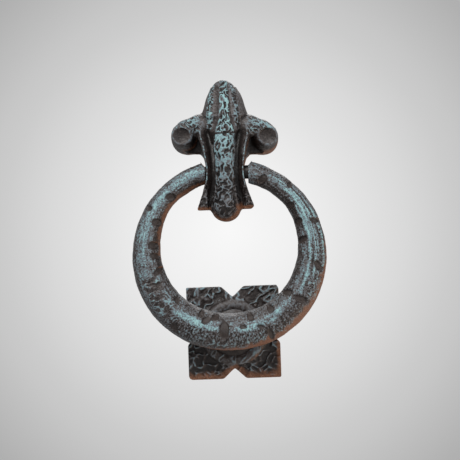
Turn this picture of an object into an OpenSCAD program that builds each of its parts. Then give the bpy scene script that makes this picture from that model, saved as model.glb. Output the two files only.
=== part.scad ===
// Ring door knocker: a fleur-de-lis bracket with a swinging ring, and a strike plate below it.
// X runs to the right, Y into the door and Z up. The door's face is the plane Y = 0, and the
// origin is on it, straight behind the middle of the hinge pin.

/* [Door] */
// Thickness of the door that the studs are cut for
door_t = 44; // [30:1:60]

/* [Ring] */
// Outer diameter of the ring
ring_d = 121; // [112:1:124]
// Thickness at the bottom, where the hand holds it
ring_bottom_t = 23.6; // [20:0.2:24]
// Thickness of the two arms at the pivot
ring_end_t = 13.6; // [12:0.2:15]
// How far the ring sits to the right in its side play
ring_shift = 1; // [0:0.1:1.4]
// Gap between each arm's end face and the bracket, with the ring centred
end_gap = 2.4; // [2:0.1:3]

/* [Pivot] */
// Distance of the hinge pin's axis from the door
pin_depth = 22; // [21.6:0.1:23]
// Diameter of the hinge pin
pin_d = 8.5; // [6:0.5:8.5]
// Radial clearance of the pin in the bracket
pin_play = 0.05; // [0.02:0.01:0.1]

/* [Bracket] */
// Height of the petal's tip above the pivot
tip_z = 57.3; // [55:0.1:60]
// Half the width of the stem at its waist
waist = 11.4; // [10.8:0.1:11.8]
// Projection of the middle rib from the door
rib_front = 35; // [34:0.5:38]
// Projection of the two flanges beside the rib
flange_front = 31; // [29:0.5:31.5]
// Distance between the two bracket studs
stud_spacing = 45; // [42:1:46]

/* [Strike plate] */
// Side of the square plate
plate_w = 58; // [54:1:64]
// Thickness of the plate
plate_t = 5; // [4:0.5:5.5]
// Height of the plate's centre below the pivot
plate_drop = 100; // [99:1:101]
// How far the plate's centre sits to the right of the bracket's
plate_x = 2; // [0:0.5:3]
// Depth of the V notch in each side
notch = 6.8; // [4:0.1:7]
// Radius of the strike button's head
button_r = 15.2; // [12:0.1:15.4]

/* [Fixings] */
// Diameter of the studs' plain shank
stud_d = 6; // [5:1:6]
// Length of plain shank behind the door's face
shank = 30; // [20:1:30]
// Depth of the tapped holes in the bracket
tapped = 12; // [8:1:14]

/* [Hidden] */
$fn = 64;

// finishes
patina = [0.24, 0.30, 0.30];
dark_iron = [0.20, 0.17, 0.15];
steel = [0.62, 0.62, 0.60];

// ring
ring_r = ring_d / 2;
end_x = waist + end_gap;                    // an arm's end face, from the ring's middle
end_path_r = ring_r - ring_end_t / 2;       // where the arms' centreline runs at the ends
ring_z = -sqrt(pow(end_path_r, 2) - pow(end_x, 2));   // puts the arms' ends at the pivot
flat_bottom = 1.6;                          // how much the ring's lowest point is flattened
taper_end = 130;                            // angle from the bottom where the taper stops
ring_steps = 64;
ring_sides = 20;
end_overrun = 10;                           // the sweep's extra turn, which the end faces cut off
end_tilt = 2;                               // the end faces lean apart by this much at their tops
ring_back = pin_depth - ring_bottom_t / 2;  // gap from the door to the ring's bottom
socket = 9;                                 // depth of the pin's seat in each arm

// bracket
petal_tip_r = 7.6;
petal_slope = 23.5;                         // angle of the petal's flanks from the vertical
petal_foot_z = 36;                          // the flanks end here, at the shoulders
petal_low = 20;
petal_depth = 10;                           // distance of the petal's own axis from the door
groove_r = 2.2;                             // the two grooves down the petal's front
groove_x = 5.6;
rib_r = 6.4;
rib_bend_z = 14;                            // the rib is upright below here and leans back above
rib_top = [3, tip_z - 9];                   // radius and height where the leaning rib ends
rib_top_depth = 16;
lobe_r = 9.8;
lobe_z = -21;
lobe_ease = 3;                              // the lobe narrows to the rib over this depth
skirt_z = -23.6;                            // bottom edge of the stem's flared skirt
skirt_w = 17.3;                             // half its width
stem_top = 34;
stem_bend_z = 8;                            // above here the stem's front slopes back
stem_fall = 15;
waist_arc_r = 45;                           // each side of the stem is hollowed by this arc
waist_z = 2;
flute_r = 3.4;
flute_x = 8.8;
scroll = [23.8, 20, 9.3];                   // x, z and radius at the back of each scroll
eye = [25.8, 21.6, 6.4];                    // x, z and radius of its round front face
scroll_front = 18;
shoulder_front = 24;                        // front of the shoulders beside the petal
shoulder_fall = 21;                         // angle at which they slope back to the scrolls
petal_shoulder_x = 13;
dish_depth = 1.5;
web_front = 8;
pocket_d = 3;                               // the back is cast hollow by this much
pocket_w = 14;
pocket_stop = 20;                           // the pocket stops this far below the tip
upper_stud_z = 30;
lower_stud_z = upper_stud_z - stud_spacing;

// strike plate
rim_in = 15.5;
rim_out = 19.9;
rim_front = 8;
crown_front = ring_back - 0.3;              // the ring hangs this close to the button
head_edge_t = 2;                            // straight edge of the button's head
neck_w = 8;                                 // square neck that stops the button turning

// fixings
thread_d = stud_d - 0.1;
washer_t = 1.6;
washer_d = 18;
spring_washer_d = 11.8;
nut_t = 5;
nut_af = 10;                                // across the flats
nut_z = door_t + 2 * washer_t;
stud_end = nut_z + nut_t + 4;
nut_play = 0.1;                             // on the diameter
over = 1;                                   // how far cutters run past a surface
proud = 0.02;                               // a ball stands this proud of the cone it caps

// Extrudes an outline drawn in X and Z from the distance `back` to the distance `front` before the door.
module before_door(front, back = 0)
    translate([0, -back, 0])
        rotate([90, 0, 0])
            linear_extrude(front - back) children();

// A rod along Y, from `y0` to `y1`, at height z.
module rod_y(r, y0, y1, z, sides = $fn)
    translate([0, y0, z])
        rotate([-90, 0, 0])
            cylinder(r = r, h = y1 - y0, $fn = sides);

// ---------------------------------------------------------------- bracket

// The middle petal is a bud, round about its own upright axis.
module petal() {
    tip = [petal_tip_r * cos(petal_slope), tip_z - petal_tip_r * (1 - sin(petal_slope))];
    foot_r = tip[0] + (tip[1] - petal_foot_z) * tan(petal_slope);
    translate([0, -petal_depth, 0]) {
        translate([0, 0, tip_z - petal_tip_r])
            sphere(r = petal_tip_r + proud);
        translate([0, 0, petal_foot_z])
            cylinder(r1 = foot_r, r2 = tip[0], h = tip[1] - petal_foot_z);
        translate([0, 0, petal_low])
            cylinder(r = foot_r, h = petal_foot_z - petal_low);
    }
}

// The grooves on each side of the rib on the petal.
module petal_grooves()
    for (side = [-1, 1])
        translate([side * groove_x, -petal_depth - 15.5, petal_foot_z - 6])
            rotate([-petal_slope, side * -2, 0])
                cylinder(r = groove_r, h = 40);

// The rib runs up from the round lobe and leans back on to the petal.
module rib() {
    centre = rib_front - rib_r;
    reach = [centre - rib_top_depth, rib_top[1] - rib_bend_z];
    translate([0, -centre, lobe_z]) {
        cylinder(r = rib_r, h = rib_bend_z - lobe_z);
        sphere(r = rib_r);
    }
    translate([0, -centre, rib_bend_z]) {
        sphere(r = rib_r);
        rotate([-atan2(reach[0], reach[1]), 0, 0]) {
            cylinder(r1 = rib_r, r2 = rib_top[0], h = norm(reach));
            translate([0, 0, norm(reach)]) sphere(r = rib_top[0]);
        }
    }
    // round lobe
    rod_y(lobe_r, -centre + lobe_ease, 0, lobe_z);
    translate([0, -centre + lobe_ease, lobe_z])
        rotate([90, 0, 0])
            cylinder(r1 = lobe_r, r2 = rib_r, h = lobe_ease);
}

// Outline of the stem: a block hollowed by a large arc on each side.
module stem_outline()
    difference() {
        polygon([[-skirt_w, skirt_z], [skirt_w, skirt_z], [skirt_w, 24], [13, stem_top],
                 [-13, stem_top], [-skirt_w, 24]]);
        for (side = [-1, 1])
            translate([side * (waist + waist_arc_r), waist_z]) circle(r = waist_arc_r);
    }

module stem()
    difference() {
        before_door(flange_front) stem_outline();
        // the front of the stem slopes back towards the top
        translate([-50, -flange_front - 20, stem_bend_z])
            rotate([-stem_fall, 0, 0])
                cube([100, 20, 60]);
        for (side = [-1, 1]) {
            translate([side * flute_x, -flange_front, skirt_z - over])
                cylinder(r = flute_r, h = stem_bend_z - skirt_z + over);
            translate([side * flute_x, -flange_front, stem_bend_z])
                rotate([-stem_fall, side * 8, 0])
                    cylinder(r = flute_r, h = 40);
        }
    }

// The arm of a scroll runs out from under the petal. Drawn for the right-hand side.
module shoulder()
    difference() {
        before_door(shoulder_front)
            polygon([[6, 38], [12, 38], [14.6, 36], [23, 32.8], [27, 31.2], [29.6, 28.6],
                     [30, 24], [22, 20], [18.6, 22.6], [12, 22.4], [6, 18]]);
        translate([petal_shoulder_x, -shoulder_front, 0])
            rotate([0, 0, shoulder_fall])
                translate([0, -40, 0]) cube([60, 40, 60]);
    }

module scroll_half() {
    // rolled end, tapering to its dished eye
    lean = [(eye[0] - scroll[0]) / scroll_front, (eye[1] - scroll[1]) / scroll_front];
    dish_r = 12;
    difference() {
        translate([scroll[0], 0, scroll[1]])
            multmatrix([[1, -lean[0], 0, 0],
                        [0, 1, 0, 0],
                        [0, -lean[1], 1, 0]])
                rotate([90, 0, 0])
                    cylinder(r1 = scroll[2], r2 = eye[2], h = scroll_front);
        translate([eye[0], -scroll_front - dish_r + dish_depth, eye[1]])
            sphere(r = dish_r);
    }
    shoulder();
    before_door(web_front)
        polygon([[8, 24], [18, 24], [24, 10.8], [14.6, 8.6], [10, 4]]);
}

// The hollow in the casting's back, with lands left round the studs and behind the hinge pin.
module back_pocket()
    translate([0, over, 0])
        before_door(pocket_d + over)
            difference() {
                union() {
                    translate([-pocket_w / 2, lobe_z - 3]) square([pocket_w, tip_z - pocket_stop - lobe_z + 3]);
                    translate([-scroll[0], scroll[1] - 4]) square([2 * scroll[0], 9]);
                }
                square([pocket_w + over, 10], center = true);
                for (z = [upper_stud_z, lower_stud_z])
                    translate([0, z]) circle(r = stud_d - 0.2);
            }

module bracket()
    color(patina)
        difference() {
            union() {
                difference() {
                    petal();
                    translate([-50, 0, 0]) cube([100, 50, 100]);
                    petal_grooves();
                }
                stem();
                rib();
                scroll_half();
                mirror([1, 0, 0]) scroll_half();
            }
            translate([-50, -pin_depth, 0])
                rotate([0, 90, 0])
                    cylinder(d = pin_d + 2 * pin_play, h = 100);
            for (z = [upper_stud_z, lower_stud_z])
                rod_y(stud_d / 2, -tapped, over, z);
            back_pocket();
        }

// ---------------------------------------------------------------- ring

// Thickness at the angle a from the bottom: full at the bottom, tapering up each side.
function ring_t(a) =
    let (b = min(abs(a), taper_end))
    ring_end_t + (ring_bottom_t - ring_end_t) * cos(90 * b / taper_end);

// Outer radius at the angle a: the bottom is a little flattened.
function ring_out(a) = ring_r - flat_bottom * pow(max(cos(a), 0), 4);

// One point of the ring's skin: a turns about the ring, b about its section.
function ring_point(a, b) =
    let (t = ring_t(a) / 2,
         r = ring_out(a) - t + t * cos(b))
    [r * sin(a), -t * sin(b), -r * cos(a)];

module ring_sweep() {
    last = 180 - asin(end_x / end_path_r) + end_overrun;
    points = [for (i = [0:ring_steps], j = [0:ring_sides - 1])
        ring_point(-last + 2 * last * i / ring_steps, 360 * j / ring_sides)];
    walls = [for (i = [0:ring_steps - 1], j = [0:ring_sides - 1])
        let (k = (j + 1) % ring_sides, m = i * ring_sides)
        [m + j, m + k, m + k + ring_sides, m + j + ring_sides]];
    first_cap = [[for (j = [ring_sides - 1:-1:0]) j]];
    last_cap = [[for (j = [0:ring_sides - 1]) ring_steps * ring_sides + j]];
    polyhedron(points, concat(walls, first_cap, last_cap));
}

module ring()
    color(patina)
        translate([ring_shift, -pin_depth, 0])
            difference() {
                translate([0, 0, ring_z]) ring_sweep();
                before_door(100, -50)
                    polygon([[-end_x, -15], [end_x, -15], [end_x, 0], [end_x + end_tilt, 12],
                             [-end_x - end_tilt, 12], [-end_x, 0]]);
                rotate([0, 90, 0])
                    cylinder(d = pin_d, h = 2 * (end_x + socket), center = true);
            }

module hinge_pin()
    color(steel)
        translate([ring_shift, -pin_depth, 0])
            rotate([0, 90, 0])
                cylinder(d = pin_d, h = 2 * (end_x + socket), center = true);

// ---------------------------------------------------------------- strike plate

module plate_outline()
    difference() {
        square(plate_w, center = true);
        for (turn = [0:90:270])
            rotate(turn)
                translate([0, plate_w / 2])
                    polygon([[-notch - over, over], [0, -notch], [notch + over, over]]);
    }

module strike_plate()
    color(patina)
        translate([plate_x, 0, -plate_drop])
            difference() {
                union() {
                    before_door(plate_t) plate_outline();
                    // raised rim round the button
                    translate([0, -plate_t, 0])
                        rotate([90, 0, 0])
                            rotate_extrude()
                                polygon([[rim_in, -1], [rim_out + 0.6, -1], [rim_out, 0.5],
                                         [rim_out - 1.4, rim_front - plate_t], [rim_in, rim_front - plate_t]]);
                }
                before_door(rim_front + over, -over) square(neck_w + 0.4, center = true);
            }

// Domed head, square neck, plain shank and thread.
module strike_button() {
    cap_h = crown_front - plate_t - head_edge_t;
    cap_r = (pow(button_r, 2) + pow(cap_h, 2)) / (2 * cap_h);
    color(patina)
        translate([plate_x, 0, -plate_drop]) {
            translate([0, -plate_t, 0])
                rotate([90, 0, 0])
                    intersection() {
                        cylinder(r = button_r, h = crown_front - plate_t);
                        translate([0, 0, crown_front - plate_t - cap_r]) sphere(r = cap_r);
                    }
            before_door(plate_t) square(neck_w, center = true);
            rod_y(stud_d / 2, 0, shank, 0);
            rod_y(thread_d / 2, shank, stud_end, 0);
        }
}

// ---------------------------------------------------------------- fixings

module stud(z)
    color(steel) {
        rod_y(thread_d / 2, -tapped, 0, z);
        rod_y(stud_d / 2, 0, shank, z);
        rod_y(thread_d / 2, shank, stud_end, z);
    }

module washer(z, x = 0)
    color(steel)
        translate([x, 0, 0])
            difference() {
                rod_y(washer_d / 2, door_t, door_t + washer_t, z);
                rod_y(stud_d / 2 + 0.2, door_t - over, door_t + washer_t + over, z);
            }

module spring_washer(z, x = 0)
    color(steel)
        translate([x, 0, 0])
            difference() {
                rod_y(spring_washer_d / 2, door_t + washer_t, nut_z, z);
                rod_y(stud_d / 2 + 0.15, door_t, nut_z + over, z);
                translate([0, door_t, z - 0.5]) cube([20, 20, 1]);
            }

module nut(z, x = 0)
    color(steel)
        translate([x, 0, 0])
            difference() {
                rod_y(nut_af / 2 / cos(30), nut_z, nut_z + nut_t, z, 6);
                rod_y((thread_d + nut_play) / 2, nut_z - over, nut_z + nut_t + over, z);
            }

bracket();
ring();
hinge_pin();
strike_plate();
strike_button();
stud(upper_stud_z);  // upper_stud
stud(lower_stud_z);  // lower_stud
washer(upper_stud_z);  // upper_washer
washer(lower_stud_z);  // lower_washer
washer(-plate_drop, plate_x);  // strike_washer
spring_washer(upper_stud_z);  // upper_spring_washer
spring_washer(lower_stud_z);  // lower_spring_washer
spring_washer(-plate_drop, plate_x);  // strike_spring_washer
nut(upper_stud_z);  // upper_nut
nut(lower_stud_z);  // lower_nut
nut(-plate_drop, plate_x);  // strike_nut
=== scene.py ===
import math

import bpy
import numpy as np
from mathutils import Matrix, Vector


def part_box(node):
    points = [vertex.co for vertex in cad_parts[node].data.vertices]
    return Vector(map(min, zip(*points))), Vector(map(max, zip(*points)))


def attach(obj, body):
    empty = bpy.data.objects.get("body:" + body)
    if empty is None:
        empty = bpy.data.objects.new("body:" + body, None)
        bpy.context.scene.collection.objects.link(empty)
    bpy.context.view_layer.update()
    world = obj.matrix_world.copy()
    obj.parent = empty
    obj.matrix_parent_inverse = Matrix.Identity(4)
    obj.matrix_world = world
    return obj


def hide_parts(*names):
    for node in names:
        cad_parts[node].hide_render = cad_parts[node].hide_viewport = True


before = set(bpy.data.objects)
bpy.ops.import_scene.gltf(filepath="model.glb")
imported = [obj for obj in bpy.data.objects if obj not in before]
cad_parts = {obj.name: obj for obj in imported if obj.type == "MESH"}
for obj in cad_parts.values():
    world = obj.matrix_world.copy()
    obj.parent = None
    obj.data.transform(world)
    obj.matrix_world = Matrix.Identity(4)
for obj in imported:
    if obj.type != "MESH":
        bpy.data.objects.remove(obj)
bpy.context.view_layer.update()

# The CAD's own measures, in millimetres. x runs right, d is the distance out from the door and z is up.
lo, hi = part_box("bracket")
BRACKET_TOP, BRACKET_LOW = hi.z * 1000, lo.z * 1000
lo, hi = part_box("hinge_pin")
PIN_D = -(lo.y + hi.y) * 500
PIN_R = (hi.z - lo.z) * 500
PIN_X = (lo.x * 1000, hi.x * 1000)
RING_SHIFT = (PIN_X[0] + PIN_X[1]) / 2
lo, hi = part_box("ring")
RING_R = (hi.x - lo.x) * 500
RING_HALF_T = (hi.y - lo.y) * 500
RING_LOW = lo.z * 1000
lo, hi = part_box("strike_plate")
PLATE_HALF = (hi.x - lo.x) * 500
PLATE_X, PLATE_Z = (hi.x + lo.x) * 500, (hi.z + lo.z) * 500
PLATE_RIM_D = -lo.y * 1000
lo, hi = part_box("strike_button")
BUTTON_D = -lo.y * 1000
BUTTON_R = (hi.x - lo.x) * 500
BOLT_END = hi.y * 1000

END_T = 13.6
BOTTOM_T = RING_HALF_T * 2
TAPER_END = 130
FLAT_BOTTOM = 1.6
RING_Z = RING_LOW + RING_R - FLAT_BOTTOM
PLATE_T = 5.0
EYE = (26.9, 22.7)  # middle of a scroll's round front face

# The finish from its darkest to its palest, as screen colours. LIGHT is what the lamps give a surface that
# faces them.
PATINA = (
    (0.00, (20, 15, 14)), (0.15, (36, 29, 27)), (0.30, (62, 55, 53)), (0.42, (84, 81, 82)),
    (0.55, (100, 106, 112)), (0.70, (111, 133, 141)), (0.85, (127, 158, 163)), (1.00, (146, 184, 186)),
)
LIGHT = 1.27


def linear(value):
    """Screen value from 0 to 255 as linear light."""
    value /= 255
    return value / 12.92 if value <= 0.04045 else ((value + 0.055) / 1.055) ** 2.4


def paint(*rgb):
    """The surface colour that shows as this screen colour when it faces the lamps."""
    return tuple(linear(c) / LIGHT for c in rgb)


# ---------------------------------------------------------------- noise


class Noise:
    """Seeded gradient noise and cell noise at points given in units of one feature."""

    SIDE = 32

    def __init__(self, seed):
        rng = np.random.default_rng(seed)
        side = self.SIDE
        grad = rng.normal(size=(side, side, side, 3))
        self.grad = grad / np.linalg.norm(grad, axis=3, keepdims=True)
        self.jitter = rng.random((side, side, side, 3))

    def smooth(self, p):
        """Gradient noise, about -1 to 1."""
        cell = np.floor(p).astype(int)
        f = p - cell
        w = f * f * f * (f * (f * 6 - 15) + 10)
        total = np.zeros(len(p))
        for i in (0, 1):
            for j in (0, 1):
                for k in (0, 1):
                    c = (cell + (i, j, k)) % self.SIDE
                    g = self.grad[c[:, 0], c[:, 1], c[:, 2]]
                    dot = ((f - (i, j, k)) * g).sum(1)
                    wx = w[:, 0] if i else 1 - w[:, 0]
                    wy = w[:, 1] if j else 1 - w[:, 1]
                    wz = w[:, 2] if k else 1 - w[:, 2]
                    total += dot * wx * wy * wz
        return total * 1.7

    def layers(self, p, count=3):
        total, size = np.zeros(len(p)), 1.0
        for k in range(count):
            total += self.smooth(p * 2**k + 7.3 * k) * size
            size *= 0.5
        return total

    def cells(self, p):
        """Distances to the nearest and second nearest cell centres."""
        cell = np.floor(p).astype(int)
        f = p - cell
        first = np.full(len(p), 9.0)
        second = np.full(len(p), 9.0)
        for i in (-1, 0, 1):
            for j in (-1, 0, 1):
                for k in (-1, 0, 1):
                    c = (cell + (i, j, k)) % self.SIDE
                    at = self.jitter[c[:, 0], c[:, 1], c[:, 2]] + (i, j, k)
                    dist = np.linalg.norm(at - f, axis=1)
                    closer = dist < first
                    second = np.where(closer, first, np.minimum(second, dist))
                    first = np.where(closer, dist, first)
        return first, second


def step(low, high, v):
    """0 at low, 1 at high, with a smooth change between them."""
    t = np.clip((v - low) / (high - low), 0, 1)
    return t * t * (3 - 2 * t)


def blend(a, b, share):
    return a + (b - a) * share


def bump(v, width):
    """1 where v is 0, falling to nearly nothing two widths away."""
    return np.exp(-((v / width) ** 2))


def place_in_scene(name, data):
    made = bpy.data.objects.new(name, data)
    bpy.context.scene.collection.objects.link(made)
    return made


def gnarl(p, size, seed, lean=0.6, stretch=1.6, filling=0.9, thin=0.34):
    """Cast bark, about -1 to 1: raised veins round sunken cells, some of them filled to the veins' level."""
    noise = Noise(seed)
    bend = np.stack([noise.smooth(p / (size * 1.3) + s) for s in (0.0, 11.7, 23.1)], 1)
    q = p + bend * size * 0.42
    c, s = math.cos(lean), math.sin(lean)
    along = q[:, 0] * c + q[:, 2] * s
    across = -q[:, 0] * s + q[:, 2] * c
    q = np.stack([along / stretch, q[:, 1], across], 1)
    first, second = noise.cells(q / size)
    veins = 1 - step(0.03, thin, second - first)
    winding = 1 - step(0.04, thin * 0.8, np.abs(noise.smooth(q / (size * 0.9) + 57)))
    share = step(-0.2, 0.2, noise.smooth(p / (size * 2.1) + 43))
    veins = veins * share + winding * (1 - share)
    filled = step(0.05, 0.4, noise.smooth(p / (size * 1.9) + 31))
    height = veins * 1.5 - 0.95 + filled * filling * (1 - veins)
    return np.clip(height + 0.22 * noise.smooth(p / (size * 0.33)), -1.1, 1.0)


# ---------------------------------------------------------------- distance fields


def join(a, b, k):
    h = np.clip(0.5 + 0.5 * (b - a) / k, 0, 1)
    return b + (a - b) * h - k * h * (1 - h)


def cut(a, b, k):
    return -join(-a, -b, k)


def round_cone(x, d, z, a, b):
    """Distance to a rod between two balls. a and b are (x, d, z, radius)."""
    ax = np.array(a[:3])
    ab = np.array(b[:3]) - ax
    px, pd, pz = x - ax[0], d - ax[1], z - ax[2]
    t = np.clip((px * ab[0] + pd * ab[1] + pz * ab[2]) / (ab @ ab), 0, 1)
    gap = np.sqrt((px - t * ab[0]) ** 2 + (pd - t * ab[1]) ** 2 + (pz - t * ab[2]) ** 2)
    return gap - (a[3] + (b[3] - a[3]) * t)


def outline_distance(x, z, points):
    """Signed distance to a closed outline in x and z, negative inside."""
    best = np.full(x.shape, 1e9)
    inside = np.zeros(x.shape, bool)
    for k, (x0, z0) in enumerate(points):
        x1, z1 = points[(k + 1) % len(points)]
        ex, ez = x1 - x0, z1 - z0
        px, pz = x - x0, z - z0
        t = np.clip((px * ex + pz * ez) / (ex * ex + ez * ez), 0, 1)
        best = np.minimum(best, (px - t * ex) ** 2 + (pz - t * ez) ** 2)
        if ez:
            crosses = (z0 > z) != (z1 > z)
            inside ^= crosses & (x < x0 + ex * (z - z0) / ez)
    return np.where(inside, -1, 1) * np.sqrt(best)


def petal_axis(z):
    """The petal leans a little to the right of the stem."""
    return np.interp(z, [24, 32, 40, 50, 58], [0, 0.7, 1.0, 1.1, 0.4])


def crest_line(z):
    """How far out each flange's crest lies."""
    return np.interp(z, [-24, -16, -10, -4, 3, 9, 16, 23, 27, 36],
                     [15.9, 14.4, 12.9, 11.6, 11.2, 11.9, 13.0, 14.6, 15.0, 12])


def petal_grooves(z):
    """Where the petal's two grooves run."""
    left = np.interp(z, [26, 34, 50, 55], [-5.6, -4.6, -3.6, -2.8])
    return left, np.interp(z, [26, 34, 50, 55], [6.0, 4.6, 3.5, 2.6])


def scroll_frame(x, z):
    """Distance out from the scrolls' middle, and height in their own slightly tilted frame."""
    return np.abs(x - 0.6), z - 0.7 + 0.035 * x


def bracket_field(x, d, z):
    ax = np.abs(x)
    px = x - petal_axis(z)
    sx, sz = scroll_frame(x, z)

    # petal: a bud that leans back above the shoulders and narrows into the rib below them
    slope = math.radians(23.5)
    tip_z, tip_r = BRACKET_TOP + 0.8 - 7.8, 7.8
    top_r, top_z = tip_r * math.cos(slope), tip_z + tip_r * math.sin(slope)
    depth = np.interp(z, [18, 22, 26, 31, 34, 37, 60], [22.0, 20.2, 17.6, 14.0, 11.7, 10, 10])
    q = np.sqrt(px**2 + (d - depth) ** 2)
    foot_r = top_r + (top_z - 36) * math.tan(slope)
    r = np.interp(z, [18, 22, 25.6, 31, 34, 36, 60],
                  [6.8, 7.7, 9.2, 11.3, 13.2, foot_r, foot_r - 24 * math.tan(slope)])
    r = r + 1.3 * np.exp(-(((z - 48) / 6.5) ** 2))
    flank = np.maximum((q - r) * 0.88, z - top_z)
    flank = np.maximum(flank, 19 - z)
    ball = np.sqrt(px**2 + (d - 10) ** 2 + (z - tip_z) ** 2) - tip_r
    petal = join(flank, ball, 1.6)

    # stem: two flanges with a flute inside each, on a block that flares into the skirt
    half = np.interp(z, [-23.6, -20, -12, -5, 0, 4, 10, 17, 24, 30, 36],
                     [18.1, 17.0, 14.1, 12.3, 11.7, 11.8, 12.6, 14.2, 16.6, 15.0, 11.0])
    crest = crest_line(z)
    front = np.interp(z, [-30, 7, 14, 20, 26, 34], [30.6, 30.6, 28.4, 25.2, 21.4, 17.5])
    rib_edge = 5.4
    u = np.clip((crest - ax) / (crest - rib_edge), 0, 1)
    flute = (4.9 - 1.3 * np.exp(-((z / 6) ** 2))) * np.sin(np.pi * np.minimum(u**1.5, 0.5)) ** 0.8
    skirt = step(-8, -15, z)
    plateau = np.clip((ax - 10.2) / 2.0, 0, 1)
    flute = flute * (1 - skirt) + skirt * 5.8 * (1 - step(0, 1, plateau)) * step(5.2, 6.6, ax)
    outer = np.maximum(ax - crest, 0)
    top = front - flute - outer * (1.6 * (1 - skirt) + 0.3 * skirt)
    stem = cut((ax - half) * 0.93, (d - top) * 0.8, 0.9)
    stem = cut(stem, (-22.9 - z + 0.85 * np.maximum(d - 28.6, 0)) * 0.8, 0.6)
    stem = cut(stem, (x - z - 38.7) * 0.7, 0.4)
    stem = cut(stem, z - 33, 4.0)

    # rib, leaning back on to the petal, and the round lobe below it
    rib = round_cone(x, d, z, (0, 26.6, -20.4, 8.0), (0, 28.9, -5, 5.8))
    rib = join(rib, round_cone(x, d, z, (0, 28.9, -5, 5.8), (0, 28.1, 14, 6.3)), 1.0)
    rib = join(rib, round_cone(x, d, z, (0, 28.0, 14, 6.6), (0.2, 22.4, 25, 6.4)), 1.5)
    rib = join(rib, round_cone(x, d, z, (0.9, 21.6, 29, 4.4), (0.9, 15.6, 50, 2.9)), 1.5)
    lobe = cut(np.sqrt(x**2 + (z + 21) ** 2) - 9.5, d - 29.0, 6.0)

    # arms that run out from under the petal and roll over into the scrolls
    arm = round_cone(sx, d, sz, (6.0, 13.6, 29.6, 6.6), (15.5, 13.8, 29.2, 5.9))
    arm = join(arm, round_cone(sx, d, sz, (15.5, 13.8, 29.2, 5.9), (23.8, 12.8, 26.4, 5.4)), 2.5)
    arm = join(arm, round_cone(sx, d, sz, (23.8, 12.8, 26.4, 5.4), (27.8, 11.8, 23.4, 5.0)), 2.0)
    sheet = outline_distance(sx, sz, (
        (4, 38), (12, 38), (15.2, 35.6), (23, 32.6), (28.4, 30.2), (31.6, 27),
        (30, 22), (22, 20), (18.4, 22.4), (12, 22.4), (4, 20)))
    arm = join(arm, cut(sheet, d - 12.5, 1.5), 2.0)

    share = np.clip(d / 18.0, 0, 1.2)
    eye_x, eye_z = EYE
    cx, cz = 24.0 + (eye_x - 24.0) * share, 20 + (eye_z - 20) * share
    roll_r = 9.2 - 2.9 * share**1.3
    roll = (np.sqrt((sx - cx) ** 2 + (sz - cz) ** 2) - roll_r) * 0.94
    roll = cut(roll, d - 17.6, 1.2)
    arm = join(arm, roll, 1.0)
    dish = np.sqrt((sx - eye_x) ** 2 + (d - 28.9) ** 2 + (sz - eye_z) ** 2) - 12.4
    well = np.sqrt(((sx - eye_x) / 1.1) ** 2 + (sz - eye_z) ** 2) - 4.6
    arm = cut(arm, -np.maximum(dish, well), 0.5)

    web = outline_distance(sx, sz, (
        (6, 26), (17, 26), (24.5, 12.6), (23.8, 11.3), (15.6, 11.0), (13.2, 8.6), (11.6, 4), (6, 3)))
    web = cut(web, d - 8.0, 1.5)

    body = join(petal, arm, 0.9)
    body = join(body, stem, 2.4)
    body = join(body, web, 1.4)
    body = join(body, lobe, 1.6)

    # grooves down the petal on both sides of its rib: broad on the left, one sharp step on the right
    top_fade = step(25, 31, z) * step(57, 52, z) * step(9, 13, d)
    left_x, right_x = petal_grooves(z)
    groove = 1.35 * np.exp(-np.abs((x - left_x) / 2.0) ** 3)
    fall = x - right_x
    groove = groove + 1.5 * step(-0.5, 0.3, fall) * np.exp(-np.maximum(fall, 0) / 2.2)
    body = body + groove * top_fade
    body = join(body, rib, 0.9)
    body = cut(body, -d, 0.4)
    return body


def plate_field(x, d, z):
    w = PLATE_HALF
    n, v = 6.8, 6.9
    cz = z - PLATE_Z
    c = 0.9  # how much the notches' mouths are eased
    outline = [(-w, -w + 2.2), (-w + 0.7, -w + 0.7), (-w + 2.2, -w), (-v - c, -w), (-v + 0.3, -w + 0.5),
               (0, -w + n), (v - 0.3, -w + 0.5), (v + c, -w), (w - 0.6, -w), (w, -w + 0.6),
               (w, -v - c), (w - 0.5, -v + 0.3), (w - n, 0), (w - 0.5, v - 0.3), (w, v + c),
               (w, w - 2.2), (w - 1.2, w), (v + c, w), (v - 0.3, w - 0.5), (0, w - n), (-v + 0.3, w - 0.5),
               (-v - c, w), (-w + 0.4, w), (-w, w - 0.4), (-w, v + c), (-w + 0.5, v - 0.3), (-w + n, 0),
               (-w + 0.5, -v + 0.3), (-w, -v - c)]
    flat = outline_distance(x, cz, outline)
    body = cut(flat, d - PLATE_T, 1.1)
    r = np.sqrt(x**2 + cz**2)
    rise = PLATE_RIM_D - PLATE_T + 0.6
    rim = (np.abs((r - 17.3) / 3.6) ** 2.2 + np.abs((d - PLATE_T + 0.4) / rise) ** 2.2) ** (1 / 2.2) - 1
    body = join(body, rim * 2.4, 2.6)
    square_hole = np.maximum(np.abs(x), np.abs(cz)) - 4.2
    body = np.maximum(body, -square_hole)
    return cut(body, -d, 0.4)


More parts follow.
